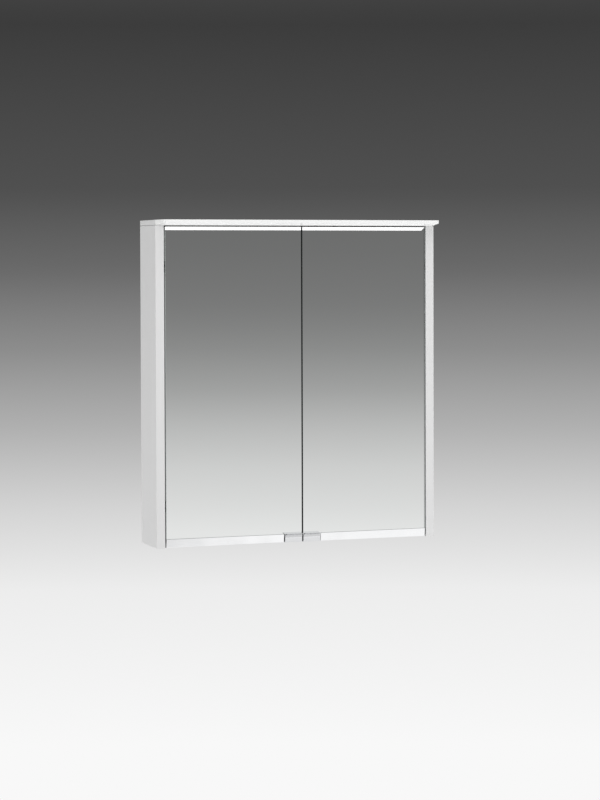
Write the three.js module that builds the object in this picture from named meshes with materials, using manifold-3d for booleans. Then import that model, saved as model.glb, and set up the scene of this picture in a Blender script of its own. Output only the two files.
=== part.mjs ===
// Wall-hung medicine cabinet with two mirror doors and a lit canopy.
// Millimetres, +Z up. The back face lies on the wall plane Y = 0, the doors face -Y, and the
// origin is the centre of the back face.
import * as THREE from 'three';
import { mergeVertices } from 'three/addons/utils/BufferGeometryUtils.js';
import Module from 'manifold-3d';

const wasm = await Module();
wasm.setup();

// ---------------------------------------------------------------- driving dimensions
const WIDTH = 650;              // over the side boards
const CARCASS_HEIGHT = 700;     // side boards, up to the joint under the top board
const CARCASS_DEPTH = 122;      // wall to the front of the doors
const BOARD = 19;               // side boards
const TOP_BOARD = 12;           // top board, and the canopy's full height
const BOTTOM_BOARD = 16;
const BACK_SHEET = 3;
const REBATE = 6;               // how far the back panel runs into each side board

const CANOPY_REACH = 45;        // canopy in front of the doors
const CANOPY_INSET = 6;         // how far each canopy end runs in towards its front
const CANOPY_RISE = 4;          // the canopy's underside climbs this much to its front
const CAP_WALL = 10;            // canopy end cap, at its rear

const DOOR_GAP = 3;             // beside and between the doors
const DOOR_SPLIT = 10;          // joint between the doors, right of centre: the left door is wider
const DOOR_FOOT = 2.5;          // door's lowest edge above the cabinet's
const DOOR_HEAD = 697.5;
const MIRROR_GLASS = 4;
const DOOR_CORE = 14;
const REAR_MIRROR = 3;
const RAIL_FOOT = 1;            // polished rail under each door
const RAIL_HEAD = 19;
const RAIL_PROUD = 0.5;
const RAIL_SHEET = 1;
const TAB_WIDTH = 40;           // pull tab at each door's free corner
const TAB_REACH = 13;

const HINGE_IN = 16;            // pivot, in from the door's hung edge
const HINGE_BACK = 9;           // pivot, behind the door's front face
const HINGE_HEIGHTS = { lower: 90, upper: 610 };
const HINGE_ARM_HEIGHT = 14;
const HINGE_POCKET_HEIGHT = 26;
const HINGE_PIN_R = 2;

const INNER_FRONT = 90;         // fixed inner pieces stay this far from the wall at the door corners
const SHELF_GLASS = 5;
const SHELF_LEVELS = { lower: 230, upper: 440 };
const PIN_PLACES = { front: 74, rear: 18 };   // shelf pins, out from the wall
const PIN_HOLE_PITCH = 32;
const PIN_DROP = 3;             // pin centre below the glass

const COVER_LEVEL = 655;        // underside of the service cover
const COVER_SHEET = 1.5;

const GAP = 0.3;                // between pieces that sit in one another

// ---------------------------------------------------------------- worked out from those
const HALF = WIDTH / 2;
const INNER_HALF = HALF - BOARD;
const HEIGHT = CARCASS_HEIGHT + TOP_BOARD;
const DOOR_HUNG = INNER_HALF - DOOR_GAP;      // hung edge of a door, from the centre
const FRONT = -CARCASS_DEPTH;
const CORE_FRONT = FRONT + MIRROR_GLASS;
const CORE_REAR = CORE_FRONT + DOOR_CORE;
const DOOR_REAR = CORE_REAR + REAR_MIRROR;
const PIVOT_X = DOOR_HUNG - HINGE_IN;
const PIVOT_Y = FRONT + HINGE_BACK;

// Where a door's free edge stands, for the left (-1) or the right (1) door.
const freeEdge = (side) => DOOR_SPLIT + side * DOOR_GAP / 2;

// ---------------------------------------------------------------- materials
const paint = (color, roughness, metalness = 0) => () =>
  new THREE.MeshStandardMaterial({ color, roughness, metalness });

const whiteLacquer = paint(0xe6e6e4, 0.35);
const opal = paint(0xfbfbf6, 0.25);
const mirror = paint(0xc9ccce, 0.03, 1);
const polishedRail = paint(0xe4e6e8, 0.12, 1);
const chrome = paint(0xd8dadc, 0.08, 1);
const steel = paint(0x9fa3a6, 0.35, 1);
const galvanised = paint(0xb3b6b8, 0.5, 0.8);
const clearGlass = paint(0xcfe3dd, 0.05);
const whitePlastic = paint(0xf1f1ee, 0.45);
const greyPlastic = paint(0x8b8f92, 0.55);
const darkPlastic = paint(0x2b2d2f, 0.5);
const clearBuffer = paint(0xdfe2e0, 0.3);

// ---------------------------------------------------------------- solids
// A box between two values on each axis, given in either order.
function block(x, y, z) {
  const span = [x, y, z].map(([a, b]) => [Math.min(a, b), Math.max(a, b)]);
  const geometry = new THREE.BoxGeometry(...span.map(([low, high]) => high - low));
  return geometry.translate(...span.map(([low, high]) => (low + high) / 2));
}

function outline(points) {
  return new THREE.Shape(points.map(([u, v]) => new THREE.Vector2(u, v)));
}

// A plan outline of [x, y] points, raised between two heights.
function raise(points, low, high) {
  const geometry = new THREE.ExtrudeGeometry(outline(points), { depth: high - low, bevelEnabled: false });
  return geometry.translate(0, 0, low);
}

// A section of [y, z] points, drawn out along X between two places.
function drawAlongX(points, from, to) {
  const start = Math.min(from, to);
  const length = Math.abs(to - from);
  const geometry = new THREE.ExtrudeGeometry(outline(points), { depth: length, bevelEnabled: false });
  const turn = new THREE.Matrix4().makeBasis(
    new THREE.Vector3(0, 1, 0), new THREE.Vector3(0, 0, 1), new THREE.Vector3(1, 0, 0));
  return geometry.applyMatrix4(turn).translate(start, 0, 0);
}

// A turned piece: [radius, distance] points around the X, Y or Z axis, starting and ending on the
// axis or closing on themselves.
function turned(points, axis, segments) {
  const geometry = new THREE.LatheGeometry(points.map(([r, d]) => new THREE.Vector2(r, d)), segments);
  if (axis === 'x') geometry.rotateZ(-Math.PI / 2);
  if (axis === 'z') geometry.rotateX(Math.PI / 2);
  return geometry;
}

// A plain rod along X, Y or Z, centred on a point.
function rod(axis, radius, length, [x, y, z], segments = 16) {
  const half = length / 2;
  return turned([[0, -half], [radius, -half], [radius, half], [0, half]], axis, segments).translate(x, y, z);
}

function asSolid(geometry) {
  const bare = geometry.clone();
  bare.deleteAttribute('normal');
  bare.deleteAttribute('uv');
  const merged = mergeVertices(bare, 1e-4);
  return new wasm.Manifold(new wasm.Mesh({
    numProp: 3,
    vertProperties: new Float32Array(merged.attributes.position.array),
    triVerts: new Uint32Array(merged.index.array),
  }));
}

function asGeometry(solid) {
  const { vertProperties, triVerts } = solid.getMesh();
  const geometry = new THREE.BufferGeometry();
  geometry.setAttribute('position', new THREE.BufferAttribute(new Float32Array(vertProperties), 3));
  geometry.setIndex(new THREE.BufferAttribute(new Uint32Array(triVerts), 1));
  return geometry;
}

function join(...geometries) {
  return asGeometry(geometries.map(asSolid).reduce((whole, next) => whole.add(next)));
}

function cut(geometry, ...tools) {
  return asGeometry(tools.map(asSolid).reduce((rest, tool) => rest.subtract(tool), asSolid(geometry)));
}

// Adds a named piece, with a material of its own, to a group.
function piece(group, name, geometry, material) {
  geometry.computeVertexNormals();
  const mesh = new THREE.Mesh(geometry, material());
  mesh.name = name;
  group.add(mesh);
}

const sides = { left: -1, right: 1 };

// ---------------------------------------------------------------- carcass
function pinHoleHeights() {
  return Object.values(SHELF_LEVELS).flatMap((level) =>
    [-PIN_HOLE_PITCH, 0, PIN_HOLE_PITCH].map((step) => level - PIN_DROP + step));
}

function sideBoard(side) {
  const holes = pinHoleHeights().flatMap((height) => Object.values(PIN_PLACES).map((out) =>
    rod('x', 2.6, 18, [side * INNER_HALF, -out, height], 10)));
  const board = block([side * INNER_HALF, side * HALF], [FRONT, 0], [0, CARCASS_HEIGHT]);
  const rebate = block([side * (INNER_HALF - 1), side * (INNER_HALF + REBATE)], [-BACK_SHEET, 1],
    [-1, CARCASS_HEIGHT + 1]);
  return cut(board, rebate, ...holes);
}

const LEAD_X = 43;              // where the canopy's lead runs, from the centre
const LEAD_LEVEL = 705.6;
const LEAD_R = 1.7;

function topBoard() {
  const board = block([-HALF, HALF], [FRONT, 0], [CARCASS_HEIGHT, HEIGHT]);
  const groove = block([LEAD_X - 3, LEAD_X + 3], [FRONT - 1, -52], [CARCASS_HEIGHT - 1, CARCASS_HEIGHT + 8]);
  return cut(board, groove);
}

// The bottom board's front corners are relieved, so that the doors' hung edges swing past them.
function bottomBoard() {
  const rear = -BACK_SHEET - GAP;
  const front = DOOR_REAR + 3.5;
  const relief = 44;
  return raise([
    [-INNER_HALF, rear], [-INNER_HALF, -INNER_FRONT], [relief - INNER_HALF, -INNER_FRONT],
    [relief - INNER_HALF, front], [INNER_HALF - relief, front], [INNER_HALF - relief, -INNER_FRONT],
    [INNER_HALF, -INNER_FRONT], [INNER_HALF, rear],
  ], 0, BOTTOM_BOARD);
}

const HANGER = { x: [268, 300], z: [662, 694] };
const CABLE_HOLE = { x: -150, z: 678, r: 9 };

function backPanel() {
  const half = INNER_HALF + REBATE - GAP;
  const sheet = block([-half, half], [-BACK_SHEET, 0], [0, CARCASS_HEIGHT]);
  const windows = Object.values(sides).map((side) =>
    block(HANGER.x.map((x) => side * x), [-BACK_SHEET - 1, 1], HANGER.z));
  const cable = rod('y', CABLE_HOLE.r, 10, [CABLE_HOLE.x, -BACK_SHEET / 2, CABLE_HOLE.z], 24);
  return cut(sheet, ...windows, cable);
}

function grommet() {
  const rear = -0.4;
  const face = -BACK_SHEET - GAP;
  const profile = [[5, face - 2], [11.5, face - 2], [11.5, face], [CABLE_HOLE.r - GAP, face],
    [CABLE_HOLE.r - GAP, rear], [5, rear], [5, face - 2]];
  return turned(profile, 'y', 24).translate(CABLE_HOLE.x, 0, CABLE_HOLE.z);
}

// Zinc hanger in an upper rear corner: an adjusting block whose claw passes out through the back.
function hanger(side) {
  const x = (a, b) => [side * a, side * b];
  const body = join(
    block(x(INNER_HALF - 2.5, INNER_HALF), [-40, -5], [660, 696]),
    block(x(272, INNER_HALF - 2), [-26, -8], [664, 692]),
    block(x(278, 290), [-9, -1], [682, 690]),
    block(x(278, 290), [-3.2, -1], [672, 690]),
  );
  const screws = [670, 686].map((z) => rod('y', 2.5, 6, [side * 284, -26, z], 10));
  return cut(body, ...screws);
}

// Sheet-metal cover that closes the wiring space under the top board.
function serviceCover() {
  const half = INNER_HALF - 1;
  const floor = block([-half, half], [-INNER_FRONT, -BACK_SHEET - 1], [COVER_LEVEL, COVER_LEVEL + COVER_SHEET]);
  const face = block([-half, half], [-INNER_FRONT, COVER_SHEET - INNER_FRONT],
    [COVER_LEVEL, CARCASS_HEIGHT - 0.5]);
  return join(floor, face);
}

const DRIVER = { x: [90, 250], y: [-70, -25], z: [678, 699.7] };

function driver() {
  const { x, y, z } = DRIVER;
  const earBase = z[1] - 2.5;
  const body = join(block(x, y, z), block([x[0] - 9, x[1] + 9], [y[0] + 6, y[1] - 6], [earBase, z[1]]));
  const screws = [x[0] - 5, x[1] + 5].map((place) =>
    rod('z', 2, 8, [place, (y[0] + y[1]) / 2, earBase], 10));
  return cut(body, ...screws);
}

// The lead is held all its way: from the driver's end, up into the top board's groove, to the strip.
function lead() {
  const start = DRIVER.x[0] - GAP;
  const route = new THREE.CatmullRomCurve3([
    new THREE.Vector3(start, -47, 687), new THREE.Vector3(74, -47, 687),
    new THREE.Vector3(55, -49, 690), new THREE.Vector3(45, -56, 697),
    new THREE.Vector3(LEAD_X, -66, 703.5), new THREE.Vector3(LEAD_X, -78, LEAD_LEVEL),
    new THREE.Vector3(LEAD_X, -106, LEAD_LEVEL), new THREE.Vector3(LEAD_X, -134, LEAD_LEVEL),
  ]);
  const section = new THREE.Shape().absarc(0, 0, LEAD_R, 0, 2 * Math.PI);
  return new THREE.ExtrudeGeometry(section, { steps: 26, curveSegments: 4, extrudePath: route });
}

// ---------------------------------------------------------------- canopy
const CANOPY_HALF = HALF - CAP_WALL;

// Underside of the canopy at a distance in front of the doors.
const canopyUnderside = (out) => CARCASS_HEIGHT + CANOPY_RISE * out / CANOPY_REACH;

function canopyHousing() {
  const rear = FRONT;
  const front = FRONT - CANOPY_REACH + 2.7;
  const profile = [[rear, CARCASS_HEIGHT + 0.6], [rear, HEIGHT], [front, HEIGHT], [front, HEIGHT - 2.5],
    [rear - 2.5, HEIGHT - 2.5], [rear - 2.5, CARCASS_HEIGHT + 0.6]];
  const channel = drawAlongX(profile, -CANOPY_HALF, CANOPY_HALF);
  return cut(channel, block([LEAD_X - 3, LEAD_X + 3], [rear - 4, rear + 1], [703.3, 708]));
}

function canopyDiffuser() {
  const wall = 2.3;
  const rearOut = 2.8;
  const rear = FRONT - rearOut;
  const front = FRONT - CANOPY_REACH;
  const inner = (out) => canopyUnderside(out) + wall;
  const profile = [[front, HEIGHT], [front, canopyUnderside(CANOPY_REACH)], [rear, canopyUnderside(rearOut)],
    [rear, inner(rearOut)], [front + wall, inner(CANOPY_REACH - wall)], [front + wall, HEIGHT]];
  return drawAlongX(profile, -CANOPY_HALF, CANOPY_HALF);
}

function canopyStrip() {
  return block([-300, 300], [FRONT - 28, FRONT - 12.3], [HEIGHT - 5, HEIGHT - 2.8]);
}

function canopyCap(side) {
  const inner = side * (CANOPY_HALF + GAP);
  const slope = CANOPY_INSET / CANOPY_REACH;
  const wedge = raise([
    [inner, FRONT], [side * HALF, FRONT], [side * (HALF - CANOPY_INSET), FRONT - CANOPY_REACH],
    [inner, FRONT - CANOPY_REACH],
  ], CARCASS_HEIGHT, HEIGHT);
  const below = drawAlongX([
    [FRONT + 1, CARCASS_HEIGHT - 5], [FRONT + 1, canopyUnderside(-1)],
    [FRONT - CANOPY_REACH - 1, canopyUnderside(CANOPY_REACH + 1)],
    [FRONT - CANOPY_REACH - 1, CARCASS_HEIGHT - 5],
  ], side * (CANOPY_HALF - 5), side * (HALF + slope + 5));
  return cut(wedge, below);
}

// ---------------------------------------------------------------- shelves
function glassShelf(level) {
  const half = INNER_HALF - 2;
  const front = -(INNER_FRONT - 2);
  const rear = -BACK_SHEET - 2;
  const corner = 5;
  const plan = new THREE.Shape();
  plan.moveTo(-half, rear);
  plan.lineTo(-half, front + corner);
  plan.absarc(-half + corner, front + corner, corner, Math.PI, 1.5 * Math.PI);
  plan.absarc(half - corner, front + corner, corner, -0.5 * Math.PI, 0);
  plan.lineTo(half, rear);
  const sheet = new THREE.ExtrudeGeometry(plan, { depth: SHELF_GLASS, bevelEnabled: false, curveSegments: 4 });
  return sheet.translate(0, 0, level);
}

function shelfPin(side, out, level) {
  const profile = [[0, -8.5], [2.3, -8.5], [2.3, 0.3], [4, 0.3], [4, 1.6], [2.8, 1.6], [2.8, 10], [0, 10]];
  const pin = turned(profile, 'x', 12);
  if (side > 0) pin.rotateZ(Math.PI);
  return pin.translate(side * INNER_HALF, -out, level - PIN_DROP);
}

// ---------------------------------------------------------------- socket with its switch
const SOCKET = { x: [168, 268], z: [588, 650], out: 45, wall: 2.5 };
const WELL = { x: 197, z: 619, r: 21.5, depth: 18 };
const ROCKER = { x: 242, z: 619, halfWidth: 11, halfHeight: 14, tilt: 7 };

function socketHousing() {
  const { x, z, out, wall } = SOCKET;
  const shell = block(x, [-out, -BACK_SHEET - GAP], z);
  const inside = block([x[0] + wall, x[1] - wall], [wall - out, 1], [z[0] + wall, z[1] - wall]);
  const well = rod('y', WELL.r, 20, [WELL.x, -out, WELL.z], 32);
  const window = block([ROCKER.x - ROCKER.halfWidth - 0.6, ROCKER.x + ROCKER.halfWidth + 0.6],
    [-out - 5, 5 - out], [ROCKER.z - 15.6, ROCKER.z + 15.6]);
  return cut(shell, inside, well, window);
}

function socketInsert() {
  const { r, depth } = WELL;
  const outer = r - GAP - 0.1;
  const wall = 1.8;
  const cup = turned([[0, depth], [outer, depth], [outer, -0.8], [outer - wall, -0.8],
    [outer - wall, depth - wall], [0, depth - wall]].reverse(), 'y', 32);
  const holes = [-9.5, 9.5].map((x) => rod('y', 2.6, 12, [x, depth, 0], 12));
  return cut(cup, ...holes).translate(WELL.x, -SOCKET.out, WELL.z);
}

function rocker() {
  const { halfWidth, halfHeight } = ROCKER;
  const section = [[-7.6, halfHeight], [-5.2, 0], [-7.6, -halfHeight], [0, 1 - halfHeight], [3, 0],
    [0, halfHeight - 1]];
  return drawAlongX(section, -halfWidth, halfWidth);
}

// ---------------------------------------------------------------- hinges
const POCKET_X = PIVOT_X - 12;  // inner wall of the door's hinge pocket, from the centre

function hingePlate(side, height) {
  const x = (a, b) => [side * a, side * b];
  const plate = join(
    block(x(302.5, INNER_HALF), [-86, -44], [height - 10, height + 10]),
    block(x(303.5, INNER_HALF), [-72, -56], [height - 24, height + 24]),
  );
  const screws = [-18, 18].map((step) => rod('x', 2.4, 10, [side * 304, -64, height + step], 10));
  return cut(plate, ...screws);
}

// The arm lies on its plate, turns in behind the door and ends in the eye around the pin.
function hingeArm(side, height) {
  const half = HINGE_ARM_HEIGHT / 2;
  const inner = PIVOT_X - 2.5;
  const outer = PIVOT_X + 2.5;
  const bend = -INNER_FRONT;
  const plan = [
    [inner, PIVOT_Y], [outer, PIVOT_Y], [outer, bend], [302.2, bend], [302.2, -46], [296.5, -46],
    [296.5, bend + 5.5], [inner, bend + 5.5],
  ].map(([x, y]) => [side * x, y]);
  const arm = join(
    raise(plan, height - half, height + half),
    rod('z', 4.5, HINGE_ARM_HEIGHT, [side * PIVOT_X, PIVOT_Y, height], 20),
  );
  const eye = rod('z', HINGE_PIN_R + GAP, HINGE_ARM_HEIGHT + 2, [side * PIVOT_X, PIVOT_Y, height], 16);
  const adjuster = rod('x', 2.6, 3, [side * 296.5, -60, height], 12);
  return cut(arm, eye, adjuster);
}

function hingeHousing(side, height) {
  const half = HINGE_POCKET_HEIGHT / 2 - 0.4;
  const room = HINGE_ARM_HEIGHT / 2 + 0.6;
  const x = (a, b) => [side * a, side * b];
  const wall = POCKET_X + 2.8;
  const shell = join(
    block(x(POCKET_X + 0.4, PIVOT_X + 6), [CORE_FRONT + 0.4, DOOR_REAR], [height - half, height + half]),
    block(x(POCKET_X - 12, POCKET_X + 2), [DOOR_REAR, DOOR_REAR + 1.4], [height - half - 6, height + half + 6]),
  );
  return cut(shell,
    block(x(wall, PIVOT_X + 8), [CORE_FRONT - 1, DOOR_REAR + 3], [height - room, height + room]),
    rod('z', HINGE_PIN_R + 0.1, HINGE_POCKET_HEIGHT + 4, [side * PIVOT_X, PIVOT_Y, height], 16),
    ...[-15, 15].map((step) => rod('y', 2, 6, [side * (POCKET_X - 6), DOOR_REAR, height + step], 10)),
  );
}

function hingePin(side, height) {
  return rod('z', HINGE_PIN_R, HINGE_POCKET_HEIGHT - 1, [side * PIVOT_X, PIVOT_Y, height], 16);
}

// ---------------------------------------------------------------- doors
function hingePockets(side) {
  return Object.values(HINGE_HEIGHTS).map((height) => block(
    [side * POCKET_X, side * (DOOR_HUNG + 5)], [CORE_FRONT - 0.5, DOOR_REAR + 1],
    [height - HINGE_POCKET_HEIGHT / 2, height + HINGE_POCKET_HEIGHT / 2]));
}

function doorCore(side) {
  const core = block([freeEdge(side), side * DOOR_HUNG], [CORE_FRONT, CORE_REAR], [DOOR_FOOT, DOOR_HEAD]);
  return cut(core, ...hingePockets(side));
}

function doorMirror(side) {
  return block([freeEdge(side), side * DOOR_HUNG], [FRONT, CORE_FRONT], [RAIL_HEAD + GAP, DOOR_HEAD]);
}

function rearMirror(side) {
  const sheet = block([freeEdge(side) + side, side * (DOOR_HUNG - 1)], [CORE_REAR, DOOR_REAR],
    [DOOR_FOOT + 1, DOOR_HEAD - 1]);
  return cut(sheet, ...hingePockets(side));
}

// Polished channel under the door: a full-height front lip, a web and a short rear flange.
function bottomRail(side) {
  const front = FRONT - RAIL_PROUD;
  const lipRear = CORE_FRONT - GAP;
  const rear = DOOR_REAR + GAP + RAIL_SHEET;
  const profile = [[front, RAIL_FOOT], [rear, RAIL_FOOT], [rear, 6], [rear - RAIL_SHEET, 6],
    [rear - RAIL_SHEET, RAIL_FOOT + RAIL_SHEET], [lipRear, RAIL_FOOT + RAIL_SHEET], [lipRear, RAIL_HEAD],
    [front, RAIL_HEAD]];
  return drawAlongX(profile, freeEdge(side), side * DOOR_HUNG);
}

// Pull tab: a thin plate on the rail whose upper half curls forward and up into a finger lip.
function pullTab(side) {
  const sheet = 1.4;
  const rear = FRONT - RAIL_PROUD;
  const curl = 9;
  const centre = [rear - curl - sheet, 10.6];
  const arc = (radius, from, to, count) => Array.from({ length: count + 1 }, (_, step) => {
    const angle = from + (to - from) * step / count;
    return [centre[0] + radius * Math.cos(angle), centre[1] + radius * Math.sin(angle)];
  });
  const rise = rear - TAB_REACH;
  const under = arc(curl, 0, 0.45 * Math.PI, 6);
  const over = arc(curl + sheet, 0.42 * Math.PI, 0, 6);
  const profile = [[rear - sheet, RAIL_FOOT + 0.4], ...under, [rise, 20.3], [rise - 0.4, 21.6], ...over,
    [rear, RAIL_FOOT + 0.4]];
  return drawAlongX(profile, freeEdge(side), freeEdge(side) + side * TAB_WIDTH);
}

function bumper(side) {
  const profile = [[0, 0], [4.2, 0], [3.6, 2.2], [2.4, 3], [0, 3]];
  return turned(profile, 'y', 16).translate(DOOR_SPLIT + side * 30, DOOR_REAR, 11);
}

// ---------------------------------------------------------------- assembly
const cabinet = new THREE.Group();
cabinet.position.z = -HEIGHT / 2;

for (const [name, side] of Object.entries(sides)) {
  piece(cabinet, `side_panel_${name}`, sideBoard(side), whiteLacquer);
  piece(cabinet, `hanger_${name}`, hanger(side), galvanised);
  piece(cabinet, `canopy_end_cap_${name}`, canopyCap(side), opal);
}
piece(cabinet, 'top_board', topBoard(), whiteLacquer);
piece(cabinet, 'bottom_board', bottomBoard(), whiteLacquer);
piece(cabinet, 'back_panel', backPanel(), whiteLacquer);
piece(cabinet, 'cable_grommet', grommet(), darkPlastic);
piece(cabinet, 'service_cover', serviceCover(), galvanised);
piece(cabinet, 'led_driver', driver(), whitePlastic);
piece(cabinet, 'led_lead', lead(), darkPlastic);
piece(cabinet, 'canopy_housing', canopyHousing(), whiteLacquer);
piece(cabinet, 'canopy_diffuser', canopyDiffuser(), opal);
piece(cabinet, 'led_strip', canopyStrip(), whitePlastic);
piece(cabinet, 'socket_housing', socketHousing(), whitePlastic);
piece(cabinet, 'socket_insert', socketInsert(), greyPlastic);

for (const [shelf, level] of Object.entries(SHELF_LEVELS)) {
  piece(cabinet, `glass_shelf_${shelf}`, glassShelf(level), clearGlass);
  for (const [name, side] of Object.entries(sides)) {
    for (const [place, out] of Object.entries(PIN_PLACES)) {
      piece(cabinet, `shelf_pin_${shelf}_${name}_${place}`, shelfPin(side, out, level), steel);
    }
  }
}

const rockerPivot = new THREE.Group();
rockerPivot.position.set(ROCKER.x, -41, ROCKER.z);
rockerPivot.rotation.x = THREE.MathUtils.degToRad(ROCKER.tilt);
piece(rockerPivot, 'rocker_switch', rocker(), whitePlastic);
cabinet.add(rockerPivot);

for (const [name, side] of Object.entries(sides)) {
  const door = new THREE.Group();
  piece(door, `door_core_${name}`, doorCore(side), whiteLacquer);
  piece(door, `mirror_front_${name}`, doorMirror(side), mirror);
  piece(door, `mirror_rear_${name}`, rearMirror(side), mirror);
  piece(door, `bottom_rail_${name}`, bottomRail(side), polishedRail);
  piece(door, `pull_tab_${name}`, pullTab(side), chrome);
  piece(door, `door_bumper_${name}`, bumper(side), clearBuffer);
  for (const [place, height] of Object.entries(HINGE_HEIGHTS)) {
    piece(cabinet, `hinge_plate_${name}_${place}`, hingePlate(side, height), steel);
    piece(cabinet, `hinge_arm_${name}_${place}`, hingeArm(side, height), steel);
    piece(door, `hinge_housing_${name}_${place}`, hingeHousing(side, height), steel);
    piece(door, `hinge_pin_${name}_${place}`, hingePin(side, height), steel);
  }
  cabinet.add(door);
}

export default cabinet;
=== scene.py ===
"""A wall-hung medicine cabinet with two mirror doors and a lit canopy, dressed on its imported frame.

Lengths are metres in the cabinet's own frame: X to the right of someone facing the doors, Y into
the wall, Z up, with the origin at the centre of the cabinet's back.
"""

import logging
import math
from dataclasses import dataclass
from enum import Enum
from typing import Any, Callable, Iterable, Sequence

import bmesh
import bpy
from mathutils import Matrix, Vector


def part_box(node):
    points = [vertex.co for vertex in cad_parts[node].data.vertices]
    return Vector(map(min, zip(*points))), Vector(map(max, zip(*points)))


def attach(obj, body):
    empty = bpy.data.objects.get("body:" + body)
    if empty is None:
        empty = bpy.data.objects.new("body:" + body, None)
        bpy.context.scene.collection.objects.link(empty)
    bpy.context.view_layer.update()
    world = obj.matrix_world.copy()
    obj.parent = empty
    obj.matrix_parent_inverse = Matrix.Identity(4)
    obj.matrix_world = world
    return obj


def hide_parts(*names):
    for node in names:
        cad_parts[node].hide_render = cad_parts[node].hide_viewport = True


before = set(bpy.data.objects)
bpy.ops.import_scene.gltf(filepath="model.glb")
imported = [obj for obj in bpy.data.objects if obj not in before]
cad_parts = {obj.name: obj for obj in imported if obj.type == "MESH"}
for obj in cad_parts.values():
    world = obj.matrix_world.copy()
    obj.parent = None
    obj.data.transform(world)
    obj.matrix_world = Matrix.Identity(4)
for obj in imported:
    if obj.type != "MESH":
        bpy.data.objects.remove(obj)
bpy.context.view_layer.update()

log = logging.getLogger("cabinet")

MM = 0.001
# A colour mix shares its sockets' names with the number and vector ones, so they go by number.
MIX_FACTOR, MIX_A, MIX_B, MIX_RESULT = 0, 6, 7, 2
# How much of a direction's unit length lies along an axis: nearly all, most, or hardly any.
ALONG, MOSTLY, HARDLY = 0.9, 0.5, 0.1
# Slack for tests of place, and how far a cutting tool reaches past what it cuts.
NEAR = 0.1 * MM
OVER = 1 * MM
# Corners closer than this are one, and faces that fold by less than this are one.
MERGE = 0.005 * MM
FLAT = math.radians(0.5)
# Faces that fold by less than this are shaded as one curve.
SMOOTH = math.radians(40)
# Flats that a small and a larger round part are drawn with.
SMALL_ROUND, ROUND = 20, 28
Point = Sequence[float]
Test = Callable[[Vector, Vector], bool]


class Side(Enum):
    """The two hands of the cabinet, with the sign of X on each."""

    LEFT = -1
    RIGHT = 1

    @property
    def word(self) -> str:
        """The hand's name as the frame's nodes spell it."""
        return self.name.lower()


class Axis(Enum):
    """A direction of the frame."""

    X = (1.0, 0.0, 0.0)
    Y = (0.0, 1.0, 0.0)
    Z = (0.0, 0.0, 1.0)


# ------------------------------------------------------------------ finishes
def linear(shade: str) -> tuple[float, float, float, float]:
    """Turns an sRGB hex colour into the linear values that shaders take.

    Args:
        shade: The colour as "#rrggbb".

    Returns:
        Red, green, blue and an alpha of one.
    """
    channels = (int(shade[start:start + 2], 16) / 255 for start in (1, 3, 5))
    return (*(c / 12.92 if c <= 0.04045 else ((c + 0.055) / 1.055) ** 2.4 for c in channels), 1.0)


def per_mm(size_mm: float) -> float:
    """Texture scale on Object coordinates whose features are about this many millimetres across."""
    return 1.0 / (size_mm * MM)


def add(tree: bpy.types.NodeTree, kind: str, links: dict[Any, Any] | None = None,
        **settings: Any) -> bpy.types.Node:
    """Adds one shader node.

    Args:
        tree: The node tree that gets the node.
        kind: The node's type without its "ShaderNode" prefix.
        links: Input socket to a value, or to the output socket that feeds it.
        **settings: The node's own properties.

    Returns:
        The new node.
    """
    made = tree.nodes.new(f"ShaderNode{kind}")
    for name, value in settings.items():
        setattr(made, name, value)
    for socket, value in (links or {}).items():
        if isinstance(value, bpy.types.NodeSocket):
            tree.links.new(value, made.inputs[socket])
        else:
            made.inputs[socket].default_value = value
    return made


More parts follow.
